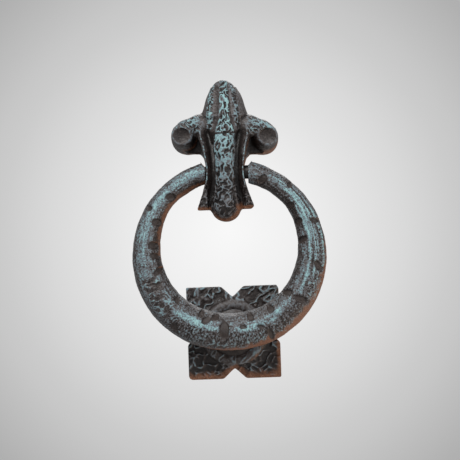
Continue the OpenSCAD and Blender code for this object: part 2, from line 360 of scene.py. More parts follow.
def mesh_field(field, low, high, pitch):
    """Turns the zero level of a field into quads, with one vertex in each cell that the surface crosses."""
    axes = [np.arange(low[k] - 2.5 * pitch, high[k] + 2.6 * pitch, pitch) for k in range(3)]
    grid = np.meshgrid(*axes, indexing="ij")
    v = field(*grid).astype(np.float32)
    shape = np.array(v.shape) - 1
    total = np.zeros((*shape, 3), np.float32)
    count = np.zeros(shape, np.float32)
    corners = [(i, j, k) for i in (0, 1) for j in (0, 1) for k in (0, 1)]

    def corner(c):
        return v[c[0]:c[0] + shape[0], c[1]:c[1] + shape[1], c[2]:c[2] + shape[2]]

    for a in corners:
        for axis in range(3):
            if a[axis]:
                continue
            b = list(a)
            b[axis] = 1
            va, vb = corner(a), corner(b)
            crosses = (va < 0) != (vb < 0)
            t = np.where(crosses, va / np.where(va == vb, 1, va - vb), 0)
            for m in range(3):
                total[..., m] += np.where(crosses, a[m] + (t if m == axis else 0), 0)
            count += crosses
    used = count > 0
    index = np.full(shape, -1, np.int64)
    index[used] = np.arange(used.sum())
    where = np.argwhere(used)
    points = where + total[used] / count[used][:, None]
    points = points * pitch + [axis[0] for axis in axes]

    quads = []
    inside = v < 0
    for axis in range(3):
        o1, o2 = [k for k in range(3) if k != axis]
        here = inside.take(range(0, v.shape[axis] - 1), axis)
        there = inside.take(range(1, v.shape[axis]), axis)
        cross = np.argwhere(here != there)
        m1, m2 = cross[:, o1], cross[:, o2]
        cross = cross[(m1 > 0) & (m2 > 0) & (m1 < shape[o1]) & (m2 < shape[o2])]
        flip = here[tuple(cross.T)]
        ring = []
        for s1, s2 in ((1, 1), (0, 1), (0, 0), (1, 0)):
            c = cross.copy()
            c[:, o1] -= s1
            c[:, o2] -= s2
            ring.append(index[tuple(c.T)])
        ring = np.stack(ring, 1)
        if axis == 1:
            flip = ~flip
        quads.append(np.where(flip[:, None], ring, ring[:, ::-1]))
    return points, np.vstack(quads)


# ---------------------------------------------------------------- mesh helpers


def grid_quads(rows, sides, loop_rows=False, loop_sides=True):
    """Quads between neighbouring vertices of a grid that may close on itself either way."""
    index = np.arange(rows * sides).reshape(rows, sides)
    after = np.roll(index, -1, axis=0)
    quads = np.stack([index, np.roll(index, -1, axis=1), np.roll(after, -1, axis=1), after], -1)
    quads = quads if loop_rows else quads[:-1]
    quads = quads if loop_sides else quads[:, :-1]
    return quads.reshape(-1, 4)


def turned(y, r, angle, x, z):
    """Points about a line along Y, from their distance y behind the door's face."""
    return np.stack([x + r * np.cos(angle), -y, z + r * np.sin(angle)], -1).reshape(-1, 3)


def spread_rows(rows, angle):
    """Rows of (y, radius) at every angle."""
    both = np.array(rows)
    return both[:, :1] + 0 * angle, both[:, 1:] + 0 * angle


def normals_of(points, quads):
    a = points[quads[:, 2]] - points[quads[:, 0]]
    b = points[quads[:, 3]] - points[quads[:, 1]]
    face = np.cross(a, b)
    out = np.zeros_like(points)
    for k in range(4):
        np.add.at(out, quads[:, k], face)
    return out / np.maximum(np.linalg.norm(out, axis=1, keepdims=True), 1e-12)


class Smoother:
    """Averages a value over each vertex's neighbours."""

    def __init__(self, quads, count):
        pairs = np.vstack([quads[:, [k, (k + 1) % 4]] for k in range(4)])
        pairs = np.unique(np.sort(pairs, axis=1), axis=0)
        self.a, self.b = pairs[:, 0], pairs[:, 1]
        self.count = count
        self.degree = np.maximum(
            np.bincount(self.a, minlength=count) + np.bincount(self.b, minlength=count), 1)

    def once(self, value):
        out = np.zeros_like(value)
        for m in range(value.shape[1]):
            col = value[:, m]
            out[:, m] = (np.bincount(self.a, col[self.b], self.count)
                         + np.bincount(self.b, col[self.a], self.count)) / self.degree
        return out

    def run(self, value, times):
        flat = value.ndim == 1
        value = value[:, None] if flat else value
        for _ in range(times):
            value = 0.4 * value + 0.6 * self.once(value)
        return value[:, 0] if flat else value


def raised(points, normals, smoother, times):
    """How far each vertex stands above the surface's local average, in millimetres."""
    return ((points - smoother.run(points, times)) * normals).sum(1)


def make_piece(name, points, faces, attributes=None, smooth=True):
    """Points are (x, d, z) in millimetres; the piece is made in metres in the row frame."""
    mesh = bpy.data.meshes.new(name)
    verts = np.column_stack([points[:, 0], -points[:, 1], points[:, 2]]) / 1000
    faces = np.asarray(faces)
    mesh.vertices.add(len(verts))
    mesh.vertices.foreach_set("co", verts.ravel())
    mesh.loops.add(faces.size)
    mesh.loops.foreach_set("vertex_index", faces.ravel())
    mesh.polygons.add(len(faces))
    mesh.polygons.foreach_set("loop_start", np.arange(0, faces.size, faces.shape[1]))
    mesh.update(calc_edges=True)
    mesh.validate()
    if smooth:
        mesh.polygons.foreach_set("use_smooth", np.ones(len(faces), bool))
    for key, value in (attributes or {}).items():
        layer = mesh.attributes.new(key, "FLOAT", "POINT")
        layer.data.foreach_set("value", np.asarray(value, np.float32))
    return place_in_scene(name, mesh)


def finish_piece(piece, body, slot, material, *nodes):
    piece.data.materials.append(material)
    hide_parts(*nodes)
    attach(piece, body)
    return piece


def rust_and_warm_light_mask(normals, points, seed, start):
    """Surfaces that face down, right and away: partly bare brown metal, partly painted warm light from the
    lower right.
    """
    toward = np.array([0.68, -0.22, -0.70])
    facing = normals @ (toward / np.linalg.norm(toward))
    ragged = Noise(seed).layers(points / 2.4, 3)
    return step(start, start + 0.26, facing + 0.10 * ragged)


# ---------------------------------------------------------------- castings


def bracket_relief(p):
    """(height in millimetres, patina tone, how speckled) for points on the smooth bracket."""
    x, d, z = p.T
    ax = np.abs(x)
    sx, sz = scroll_frame(x, z)
    upright = gnarl(p, 3.2, 11, 1.3, 1.8, 1.2, 0.46)
    crown = gnarl(p, 3.0, 11, 1.3, 1.8, 0.95, 0.44)
    leaning = gnarl(p, 3.2, 14, 0.7, 1.9, 0.5, 0.36)
    low = step(-2, -9, z)
    bark = np.where(z > 26, crown, upright) * (1 - low) + leaning * low
    veins = gnarl(p, 2.5, 12, -0.5, 1.3, 1.0)
    fine = Noise(13).layers(p / 1.1, 2)
    broad = Noise(15).layers(p / 7.0, 2)

    rib_half = np.interp(z, [-31, -22, -12, 4, 18, 24, 27, 34, 56],
                         [9.6, 9.4, 6.8, 5.7, 6.8, 6.4, 5.4, 3.2, 2.4])
    rib_mid = np.interp(z, [0, 34, 56], [0, 0.9, 0.9])
    out_d = np.interp(z, [-30, 12, 28, 50, 57], [20, 21, 15, 11, 8])
    on_rib = step(0.5, -0.5, np.abs(x - rib_mid) - rib_half) * step(0, 3, d - out_d)
    left_x, right_x = petal_grooves(z)
    width = np.interp(z, [20, 26, 36, 56], [1.6, 3.0, 4.2, 3.0])
    left_ridge = step(-1.4, -2.4, x - left_x) * step(-width - 2.4, -width - 1.2, x - left_x)
    right_ridge = step(1.6, 2.8, x - right_x) * step(width + 2.4, width + 1.2, x - right_x)
    on_petal = step(25, 29, z) * step(9, 13, d)
    skirt = step(10.2, 11.2, ax) * step(-6.5, -10, z) * step(19, 24, d)
    shoulder = step(12.5, 18, sx) * step(25, 28.5, sz + (33 - sx) * 0.15) * step(7, 11, d)
    to_eye = np.hypot((sx - EYE[0]) / 1.1, sz - EYE[1])
    eye = step(5.1, 4.5, to_eye) * step(12.5, 14.5, d)
    eye_rim = step(6.9, 5.7, to_eye) * step(4.5, 5.1, to_eye) * step(13.5, 15.5, d)
    eye_rim = eye_rim * step(-7, 1, sz - EYE[1] + 2 * fine)
    roll_side = step(5.8, 6.8, to_eye) * step(18.5, 22, sx) * step(26, 23, sz)
    roll_side = roll_side * (1 - shoulder) * step(2, 5, d)
    crease = bump(z - 24.7 - 0.03 * x, 0.5) * step(-5.5, -4.5, x) * step(7.5, 6.5, x) * step(18, 22, d)
    ridges = (left_ridge + right_ridge) * on_petal

    height = on_rib * bark * 0.70 + ridges * veins * 0.46 + skirt * leaning * 0.65
    height = height + (shoulder * 0.40 + roll_side * 0.22) * (1 - eye) * veins
    height = (height - 0.7 * crease) * (1 - eye) + 0.08 * fine + 0.10 * broad * eye

    crest = crest_line(z)
    on_stem = step(28, 24, z) * step(14, 17, d) * (1 - on_rib) * step(18, 16.5, ax)
    edge = bump(ax - crest + 0.1 + 0.25 * fine, 0.34) * on_stem * step(16, 19, d) * step(-0.6, 0.5, fine)
    flute = on_stem * step(crest - 0.6, crest - 3.4, ax)

    vein_tone = step(-0.15, 0.55, veins)
    ridge_level = np.interp(z, [-31, -24, -12, -4, 6, 20, 34, 50, 57],
                            [0.32, 0.40, 0.51, 0.57, 0.68, 0.80, 0.88, 0.90, 0.70])
    ridge_level = ridge_level - 0.10 * step(2, 6, x) * step(30, 20, z) + 0.07 * broad
    pit_level = np.interp(z, [-31, -10, 10, 30, 50], [0.00, 0.03, 0.10, 0.16, 0.22])
    # painted shadow in the undercut between the scroll and the stem
    undercut_shade = step(22.5, 19, sz) * step(14.5, 16, sx) * step(25, 22, sx + 0.5 * (sz - 14)) * step(20, 14, d)
    tone = 0.38 + 0.06 * broad + 0.08 * fine
    for level, mask in (
            # flutes: dark bare casting, deepened by painted shade in the channels
            (0.05 + 0.05 * fine, flute),
            (0.11 + 0.27 * vein_tone * step(4, 12, z) + 0.06 * fine, on_stem * (1 - flute)),
            (0.08, step(-9, -14, z) * on_stem),
            (0.84, edge * step(-18, -10, z + 3 * broad)),
            # the left petal ridge is painted brighter than the right: painted light on the side facing the
            # upper left
            (0.24 + 0.64 * vein_tone, left_ridge * on_petal),
            (0.21 + 0.40 * vein_tone, right_ridge * on_petal),
            (0.29 + 0.48 * vein_tone, shoulder),
            (0.20 + 0.34 * step(0.1, 0.7, veins) + 0.05 * broad, roll_side),
            (0.06 + 0.44 * step(0.1, 0.75, leaning), skirt),
            (blend(pit_level, ridge_level, step(-0.35, 0.45, bark)), on_rib),
            (0.15, crease),
            (0.60, eye_rim * np.clip(0.15 + 1.1 * fine + 0.5 * broad, 0, 1)),
            (0.21 + 0.07 * fine + 0.06 * broad, eye),
            (0.06, undercut_shade * 0.85)):
        tone = blend(tone, level, mask)
    # painted shade in the crease where the petal stands out of the shoulders
    petal_edge_shade_x = np.interp(z, [24, 31, 36, 39], [9.0, 11.0, 13.0, 14.0])
    petal_edge_shade = bump(np.abs(x - petal_axis(z)) - petal_edge_shade_x, 1.0) * step(23, 26, z) * step(39, 35, z) * step(10, 14, d)
    tone = tone - 0.17 * petal_edge_shade
    speck = np.clip(0.35 + 0.4 * (on_rib + ridges + shoulder + skirt) - 0.3 * eye - 0.15 * flute, 0, 1)
    return height, tone, speck


def sideways_finish_and_shade(tone, normals):
    """Sides that turn away from the front are darkened: partly the pale finish not rubbed on there, partly
    painted shade towards the outline.
    """
    front = np.clip(normals[:, 1], 0, 1)
    away = 1 - step(0.05, 0.62, front)
    return tone - away * np.maximum(tone - 0.26, 0) * 0.62


def build_bracket(material):
    low = (-34.8, -0.4, BRACKET_LOW - 0.6)
    high = (34.8, 36.0, BRACKET_TOP + 0.6)
    points, quads = mesh_field(bracket_field, low, high, 0.43)
    smoother = Smoother(quads, len(points))
    points = smoother.run(points, 2)
    normals = normals_of(points, quads)
    x, d, z = points.T
    ragged = Noise(18).layers(points / 2.0, 2)
    low_skirt = step(-20.4, -22.0, z + 0.5 * ragged) * step(8.8, 10.0, np.abs(x))
    low_lobe = step(6.4, 8.6, np.hypot(x, z + 21) + 0.5 * ragged + 0.10 * x) * step(-20.5, -24.5, z - 0.3 * x)
    low_lobe = low_lobe * step(10.5, 10.0, np.abs(x))
    # brown where surfaces face down and right: partly bare metal, partly painted warm light from the lower
    # right
    rust_and_warm_light = rust_and_warm_light_mask(normals, points, 17, 0.34) * step(13, 7, d)
    rust_and_warm_light = np.maximum(rust_and_warm_light, np.maximum(low_skirt, low_lobe) * step(18, 22, d))
    height, tone, speck = bracket_relief(points)
    tone = sideways_finish_and_shade(tone, smoother.run(normals, 4))
    back = step(1.5, 0.4, points[:, 1])
    height = height * (1 - back) * (0.3 + 0.7 * step(0.05, 0.6, normals[:, 1]))
    points = points + normals * height[:, None]
    points[:, 1] = np.maximum(points[:, 1], 0)
    normals = normals_of(points, quads)
    proud = raised(points, normals, smoother, 10)
    sx, sz = scroll_frame(x, z)
    to_eye = np.hypot(sx - EYE[0], sz - EYE[1])
    face_edge = step(3.8, 4.6, to_eye) * step(8.2, 7.4, to_eye) * step(12, 14, d) * step(-0.3, 0.5, -ragged)
    tone = tone + np.clip(proud * 1.3, -0.20, 0.12) * (1 - 0.9 * face_edge)
    tone = tone * (1 - 0.5 * back) + 0.1 * back
    piece = make_piece("fleur_bracket", points, quads, {
        "tone": tone, "speck": speck, "rust_and_warm_light": rust_and_warm_light, "dent": np.zeros(len(points))})
    return finish_piece(piece, "door_side", "patinated_iron", material, "bracket")


def build_plate(material):
    low = (-PLATE_HALF - 0.5, -0.4, PLATE_Z - PLATE_HALF - 0.5)
    high = (PLATE_HALF + 0.5, PLATE_RIM_D + 0.6, PLATE_Z + PLATE_HALF + 0.5)
    points, quads = mesh_field(plate_field, low, high, 0.4)
    smoother = Smoother(quads, len(points))
    points = smoother.run(points, 1)
    normals = normals_of(points, quads)
    x, d, z = points.T
    r = np.hypot(x, z - PLATE_Z)
    upper = step(-8, 8, z - PLATE_Z)
    ground = step(3.2, 4.4, d) * step(20.0, 21.4, r)
    rim = step(3.4, 4.6, d) * step(21.2, 19.8, r) * step(14.2, 15.2, r)
    inner = step(15.0, 14.2, r) * step(3.0, 4.0, d)
    swirls = gnarl(points, 5.0, 21, 0.95, 2.0, 0.35, 0.36)
    threads = gnarl(points, 5.4, 27, 0.4, 1.4, 0.2, 0.26)
    broken = step(-0.55, 0.05, Noise(20).smooth(points / 5.0) + 0.35 * upper)
    bark = (swirls * upper + threads * (1 - upper) + 0.9) * (0.15 + 0.85 * broken) - 0.9
    broad = Noise(28).layers(points / 8.0, 2)
    fine = Noise(23).layers(points / 2.2, 3)
    height = ground * (bark * 0.62 - 0.12) + rim * (0.12 * fine + (0.20 - 0.14 * upper) * swirls - 0.1)
    height = height + 0.05 * Noise(24).layers(points / 1.1, 2)
    from_low = z - (PLATE_Z - PLATE_HALF) + 1.6 * Noise(26).layers(points / 3.0, 2)
    from_right = PLATE_HALF - x + 1.0 * Noise(29).layers(points / 3.0, 2)
    notch = step(9.5, 7.0, np.hypot(x, z - PLATE_Z + PLATE_HALF) - 1.2 * fine)
    low_edge = np.maximum(step(6.0, 1.0, from_low), step(3.2, 0.8, from_right) * step(6, -4, z - PLATE_Z))
    low_edge = np.maximum(low_edge, notch * 0.8)
    # brown where surfaces face down and right: partly bare metal, partly painted warm light from the lower
    # right
    rust_and_warm_light = np.maximum(rust_and_warm_light_mask(normals, points, 25, 0.42), low_edge * step(0.5, 2.5, d))

    vein = step(0.1, 0.75, bark)
    # the base is a little darker in the lower half: painted shadow of the ring
    tone = (0.14 + 0.05 * upper) + vein * (0.45 + 0.03 * upper) + 0.05 * broad + 0.04 * fine
    rim_tone = 0.30 + 0.10 * fine + 0.05 * upper + (0.26 - 0.20 * upper) * step(0.0, 0.7, swirls)
    tone = blend(tone, rim_tone, rim)
    # painted shade in the recess round the bolt's head, inside the rim
    tone = blend(tone, 0.20, inner)
    tone = sideways_finish_and_shade(tone, smoother.run(normals, 3))
    height = height * step(0.4, 1.5, d) * (0.12 + 0.88 * step(0.3, 0.85, normals[:, 1]))
    points = points + normals * height[:, None]
    points[:, 1] = np.maximum(points[:, 1], 0)
    normals = normals_of(points, quads)
    tone = tone + np.clip(raised(points, normals, smoother, 10) * 0.8, -0.10, 0.20)
    piece = make_piece("strike_plate_casting", points + [PLATE_X, 0, 0], quads, {
        "tone": tone, "speck": 0.35 + 0.2 * vein, "rust_and_warm_light": rust_and_warm_light, "dent": np.zeros(len(points))})
    return finish_piece(piece, "door_side", "patinated_iron", material, "strike_plate")


# Hammer marks on the ring: angle from the bottom (positive to the right), distance from the ring's centre,
# half length, half width and the mark's lean from the radial direction.
HAMMER_MARKS = (
    (-137, 52.0, 2.7, 1.9, 40), (-123, 58.0, 1.6, 1.5, 0), (-117, 50.0, 2.6, 1.8, 20),
    (-100, 48.0, 2.6, 1.8, 10), (-92, 46.2, 2.5, 1.6, -15), (-80, 44.8, 3.0, 1.5, 25),
    (-52, 42.3, 2.0, 1.5, 60), (-28, 39.4, 2.0, 1.5, 10), (-22, 42.0, 2.8, 1.8, -35),
    (-15, 38.8, 2.1, 1.8, -60), (-6, 46.0, 5.2, 2.7, 2), (17, 39.4, 2.4, 1.7, 10), (36, 40.9, 2.4, 1.8, 0),
    (56, 42.0, 2.8, 1.6, 35), (57, 51.6, 3.8, 1.9, 10), (82, 55.4, 3.2, 1.6, -45),
    (101, 46.2, 2.8, 1.5, 20), (115, 47.6, 2.5, 1.5, 5), (111, 57.4, 2.8, 1.4, -30),
    (128, 48.9, 2.5, 1.5, -10), (138, 58.2, 1.8, 1.2, 20), (155, 52.0, 3.0, 1.9, -15),
    (26, 55.0, 3.6, 1.4, -10), (-40, 55.7, 2.6, 1.4, 70), (9, 44.6, 1.9, 1.2, 75), (22, 47.5, 2.2, 1.1, 50),
    (-70, 47.5, 1.8, 1.4, 30),
)

# Longitudinal strokes of the finish on the ring: first and last angle from the bottom, place across the arm
# (-1 inner edge to 1 outer edge), half width and how much brighter or darker.
RING_STROKES = (
    (-168, -96, 0.28, 0.42, 0.30), (-98, -68, 0.35, 0.30, 0.24), (-98, -74, -0.35, 0.25, 0.12),
    (-60, -12, -0.20, 0.17, 0.34), (-45, 12, -0.08, 0.22, 0.14), (-12, 14, -0.42, 0.07, 0.22),
    (4, 26, -0.10, 0.14, 0.34), (12, 46, -0.34, 0.16, 0.26), (24, 40, -0.02, 0.07, 0.30),
    (34, 60, -0.48, 0.20, 0.10), (62, 114, -0.15, 0.09, 0.46), (106, 132, -0.28, 0.09, 0.42),
    (70, 118, 0.24, 0.07, 0.38), (98, 142, 0.04, 0.11, 0.40), (58, 118, 0.80, 0.08, 0.30),
    (112, 150, 0.42, 0.05, 0.40), (104, 136, 0.70, 0.06, 0.34), (118, 160, 0.20, 0.20, 0.16),
    (62, 100, -0.50, 0.25, 0.08), (84, 126, 0.42, 0.05, 0.26), (52, 84, 0.50, 0.06, 0.22),
    (74, 112, 0.05, 0.05, -0.34), (-170, -96, -0.74, 0.26, -0.26), (-96, -62, -0.80, 0.20, -0.18),
    (108, 164, -0.66, 0.30, -0.24), (60, 108, -0.86, 0.12, -0.20), (20, 62, 0.30, 0.26, -0.10),
    (100, 140, 0.58, 0.04, -0.30), (-100, -60, 0.86, 0.10, -0.12),
)


def ring_thickness(a):
    b = np.minimum(np.abs(a), TAPER_END)
    return END_T + (BOTTOM_T - END_T) * np.cos(np.radians(90 * b / TAPER_END))


def build_ring(material):
    along, sides = ((900, 104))
    path_r = RING_R - END_T / 2
    # the end faces stand off the bracket, and their centres are at the pivot's height
    end_x = math.sqrt(path_r**2 - RING_Z**2)
    last = 180 - math.degrees(math.asin(end_x / path_r))
    a = np.linspace(-last - 3, last + 3, along + 1)[:, None]
    turn = np.linspace(0, 2 * np.pi, sides, endpoint=False)[None, :]
    b = turn - 0.38 * np.cos(turn) + 0 * a  # closer together at the front, where b is 90 degrees
    a = a + 0 * b
    t = ring_thickness(a) / 2
    out = RING_R - FLAT_BOTTOM * np.maximum(np.cos(np.radians(a)), 0) ** 4

    straight = np.stack([np.radians(a) * 50, t * np.cos(b), t * np.sin(b)], -1).reshape(-1, 3)
    streaks = Noise(31).layers(straight / (22, 1.9, 1.9), 2)
    scratches = Noise(38).layers(straight / (7, 0.85, 0.85), 2)
    lumps = Noise(32).layers(straight / 9, 2)
    angle, width, face = a.ravel(), np.cos(b).ravel(), np.sin(b).ravel()
    front = step(0.0, 0.3, face)

    strokes = np.zeros(angle.size)
    wander = 0.05 * Noise(36).smooth(np.stack([angle / 14, 0 * angle, 0 * angle], 1))
    for first, final, at, half, strength in RING_STROKES:
        fade = step(first - 4, first + 7, angle) * step(final + 4, final - 7, angle)
        strokes += strength * fade * np.exp(-(np.abs((width - at - wander) / half) ** 2.5)) * front
    grow = (0.16 * streaks + 0.28 * lumps - 0.2 + 0.55 * np.clip(strokes, -0.4, 0.4)).reshape(a.shape)

    def place(radius):
        r = out - t + radius * np.cos(b)
        rad = np.radians(a)
        x = r * np.sin(rad) + RING_SHIFT
        return np.stack([x, PIN_D + radius * np.sin(b), RING_Z - r * np.cos(rad)], -1)

    base = place(t + grow)
    flat_x = (base[..., 0] - RING_SHIFT).ravel()
    flat_z = (base[..., 2] - RING_Z).ravel()
    dent, depth, dent_rim_shade = np.zeros((3, flat_x.size))
    for mark, r, half_len, half_wid, lean in HAMMER_MARKS:
        rad, axis = math.radians(mark), math.radians(mark + lean)
        ux, uz = math.sin(axis), -math.cos(axis)
        dx, dz = flat_x - r * math.sin(rad), flat_z + r * math.cos(rad)
        e = np.sqrt(((dx * ux + dz * uz) / half_len) ** 2 + ((dx * uz - dz * ux) / half_wid) ** 2) / 1.16
        inside = step(1.10, 0.86, e) * front
        lip = step(1.5, 1.12, e) * step(0.8, 1.1, e) * front
        dent = np.maximum(dent, inside)
        depth = np.maximum(depth, inside * (0.95 + 0.20 * half_wid) - 0.16 * lip)
        dent_rim_shade = np.maximum(dent_rim_shade, lip)

    # bark left by the casting on the lower left, and one small patch at the bottom
    patch = step(-80, -74, angle) * step(-44, -52, angle) * step(0.66, 0.50, np.abs(width - 0.06)) * front
    patch = np.maximum(patch, step(-19, -15, angle) * step(-1, -5, angle) * step(0.42, 0.55, width)
                       * step(0.98, 0.85, width) * front)
    flat = base.reshape(-1, 3)
    bark = gnarl(flat, 3.4, 33, 0.8, 1.4, 0.9, 0.42)
    grain = Noise(34).layers(flat / 1.5, 2)
    first, second = Noise(37).cells(flat / 1.75 + 0.35 * np.stack([grain, -grain, grain], 1))
    net = step(0.44, 0.08, second - first)
    below = step(-62, -40, angle) * step(64, 40, angle) * step(-0.12, 0.18, width) * step(0.92, 0.80, width)
    right = step(52, 64, angle) * step(124, 108, angle) * step(0.22, 0.42, width) * 0.8
    worn = np.clip(np.maximum(below, right) * (0.8 + 0.5 * lumps) * front * (1 - patch), 0, 1)
    pitted = np.clip(0.28 + 0.72 * worn, 0, 1) * (1 - patch * 0.7)
    relief = patch * bark * 0.45 + pitted * (net - 0.6) * 0.30 + grain * 0.07
    radius = (t + grow).ravel() - depth + relief * (1 - dent)
    points = place(radius.reshape(a.shape)).reshape(-1, 3)

    # the lips round the hammer marks get a painted dark outline of shade
    tone = 0.44 + strokes + 0.09 * streaks + 0.23 * scratches * (1 - 0.6 * worn) + 0.05 * lumps - 0.16 * dent_rim_shade
    tone = tone - 0.14 * worn + (net - 0.55) * (0.14 + 0.62 * worn) * (0.4 + np.clip(tone, 0, 0.9))
    inner_top = step(-50, -30, angle) * step(50, 30, angle) * step(-0.42, -0.62, width)
    tone = blend(tone, 0.40 + 0.05 * grain, inner_top * 0.8)
    patch_edge = step(-0.2, 0.35, np.abs(width - 0.06) + 0.25 * lumps)
    tone = blend(tone, 0.24 + 0.56 * step(-0.2, 0.6, bark) * patch_edge + 0.08 * grain, patch)
    tone = blend(tone, 0.40 + 0.06 * streaks, step(0.86, 0.95, np.abs(width)) * 0.8)
    tone = blend(tone, 0.36, step(0.3, -0.1, face))
    tone = blend(tone, 0.47 + 0.1 * lumps + 0.2 * streaks, step(155, 160, angle) * 0.7)
    speck = 0.75 - 0.3 * patch + 0 * tone

    # flat ends, cut across the arms where the CAD cuts them and chamfered at their tops
    x = points[:, 0] - RING_SHIFT
    lean = np.maximum(points[:, 2], 0) * 0.06 + np.maximum(points[:, 2] - 4.2, 0) * 0.8
    short = end_x + lean - np.abs(x)
    points[:, 0] += np.sign(x) * np.where((points[:, 2] > -14) & (short > 0), short, 0)

    index = np.arange((along + 1) * sides).reshape(along + 1, sides)
    caps = []
    for row, forward in ((0, True), (along, False)):
        base_row = points[index[row]]
        centre = base_row.mean(0)
        previous = index[row]
        for share in (0.9, 0.75, 0.5, 0.25):
            start = len(points)
            points = np.vstack([points, centre + (base_row - centre) * share])
            inner = np.arange(start, start + sides)
            q = np.stack([previous, inner, np.roll(inner, -1), np.roll(previous, -1)], 1)
            caps.append(q if forward else q[:, ::-1])
            previous = inner
        half = sides // 2
        q = np.array([[previous[k], previous[sides - k - 1], previous[sides - k - 2], previous[k + 1]]
                      for k in range(half - 1)])
        caps.append(q if forward else q[:, ::-1])
    quads = np.vstack([grid_quads(along + 1, sides)] + caps)
    extra = len(points) - index.size

    def pad(values, fill=0.0):
        return np.concatenate([values, np.full(extra, fill)])

    normals = normals_of(points, quads)
    smoother = Smoother(quads, len(points))
    soft = smoother.run(normals, 12)
    soft /= np.maximum(np.linalg.norm(soft, axis=1, keepdims=True), 1e-9)
    # brown where surfaces face down and right: partly bare metal, partly painted warm light from the lower
    # right
    rust_and_warm_light = rust_and_warm_light_mask(soft, points, 35, 0.38) * (1 - pad(dent))
    piece = make_piece("knocker_ring", points, quads, {
        "tone": pad(tone, 0.2), "speck": pad(speck, 0.3), "rust_and_warm_light": rust_and_warm_light, "dent": pad(dent)})
    return finish_piece(piece, "swinging_ring", "patinated_iron", material, "ring")


# ---------------------------------------------------------------- turned and threaded parts

SHANK_R, SHANK_END, THREAD_R, THREAD_DEPTH, THREAD_PITCH = 3.0, 30.0, 2.95, 0.5, 1.0


def threaded_rod(head, sides, x, z, square=slice(0, 0)):
    """Turns rows of (y, radius) for a head, then a shank and its M6 thread. The square rows are a neck."""
    start, end = SHANK_END + 0.12, BOLT_END - 0.5
    lines = np.linspace(start, end, int((end - start) / THREAD_PITCH * 8) + 1)
    rows = head + [(SHANK_END - 0.4, SHANK_R), (SHANK_END, 2.75)] + [(y, THREAD_R) for y in lines]
    rows += [(BOLT_END - 0.1, 2.2), (BOLT_END, 1.9), (BOLT_END, 0.0)]
    angle = np.linspace(0, 2 * np.pi, sides, endpoint=False)
    y, r = spread_rows(rows, angle)
    cut_rows = slice(len(head) + 2, len(head) + 2 + len(lines))
    y_cut = y[cut_rows]
    saw = np.abs((y_cut / THREAD_PITCH - angle / (2 * np.pi)) % 1 - 0.5) * 2
    depth = THREAD_DEPTH * (1 - np.clip(saw * 1.25 - 0.1, 0, 1))
    r[cut_rows] = THREAD_R - depth * step(0, 1.0, y_cut - SHANK_END)
    r[square] = np.minimum(4.0 / np.cos((angle + math.pi / 4) % (math.pi / 2) - math.pi / 4), r[square])
    return turned(y, r, angle, x, z), grid_quads(len(rows), sides)


def build_stud(name, node, z, material):
    """A stud whose tapered front end is screwed into the casting."""
    head = [(-12.0, 0.0), (-12.0, 2.2), (-11.6, 2.6), (-0.4, 2.9), (0.0, 2.95), (0.05, 3.0)]
    piece = make_piece(name, *threaded_rod(head, 40, 0, z))
    return finish_piece(piece, "door_side", "plain_steel", material, node)


def build_nut(name, node, x, z, material):
    """A hexagon nut whose corners are turned down at both faces."""
    half_flats, t, bore = 5.0, 5.0, 3.0
    y0 = BOLT_END - 4 - t
    angle = np.linspace(0, 2 * np.pi, 96, endpoint=False)
    six = half_flats / np.cos((angle + math.pi / 6) % (math.pi / 3) - math.pi / 6)
    fall = np.maximum(six - half_flats, 0) * 0.55
    flat = 0 * angle
    face = [(flat + 0.6, flat + bore - 0.05), (flat, flat + bore + 0.45), (flat, flat + half_flats * 0.8928),
            (flat, np.minimum(six, half_flats) - 0.12), (fall + 0.05, six - 0.06), (fall + 0.18, six)]
    rows = [(y0 + inward, r) for inward, r in face] + [(y0 + t - inward, r) for inward, r in face[::-1]]
    y, r = np.array(rows).transpose(1, 0, 2)
    piece = make_piece(name, turned(y, r, angle, x, z), grid_quads(len(rows), len(angle), True), smooth=False)
    return finish_piece(piece, "door_side", "plain_steel", material, node)


def build_washer(name, node, x, z, material, outer, inner, y0, t, split=0.0):
    """A flat washer, or a split spring washer whose ends stand apart."""
    sides = 96
    e = 0.12  # broken edge
    section = [(y0, inner + e), (y0, outer - e), (y0 + e, outer), (y0 + t - e, outer), (y0 + t, outer - e),
               (y0 + t, inner + e), (y0 + t - e, inner), (y0 + e, inner)]
    gap = math.radians(6) if split else 0
    angle = np.linspace(math.pi / 2 + gap, math.pi * 2.5 - gap, sides + 1) if split else np.linspace(
        0, 2 * np.pi, sides, endpoint=False)
    y, r = spread_rows(section, angle)
    if split:
        wind = (angle - angle.mean()) / (2 * np.pi)
        mid = y0 + t / 2
        y = mid + (y - mid) * 0.78 + wind * split
    n = len(angle)
    quads = grid_quads(len(section), n, True, not split)
    if split:
        ends = []
        for col, flip in ((0, False), (n - 1, True)):
            c = np.arange(len(section)) * n + col
            for q in ([c[7], c[0], c[1], c[2]], [c[7], c[2], c[3], c[6]], [c[6], c[3], c[4], c[5]]):
                ends.append(q[::-1] if flip else q)
        quads = np.vstack([quads, np.array(ends)])
    piece = make_piece(name, turned(y, r, angle, x, z), quads, smooth=False)
    return finish_piece(piece, "door_side", "plain_steel", material, node)


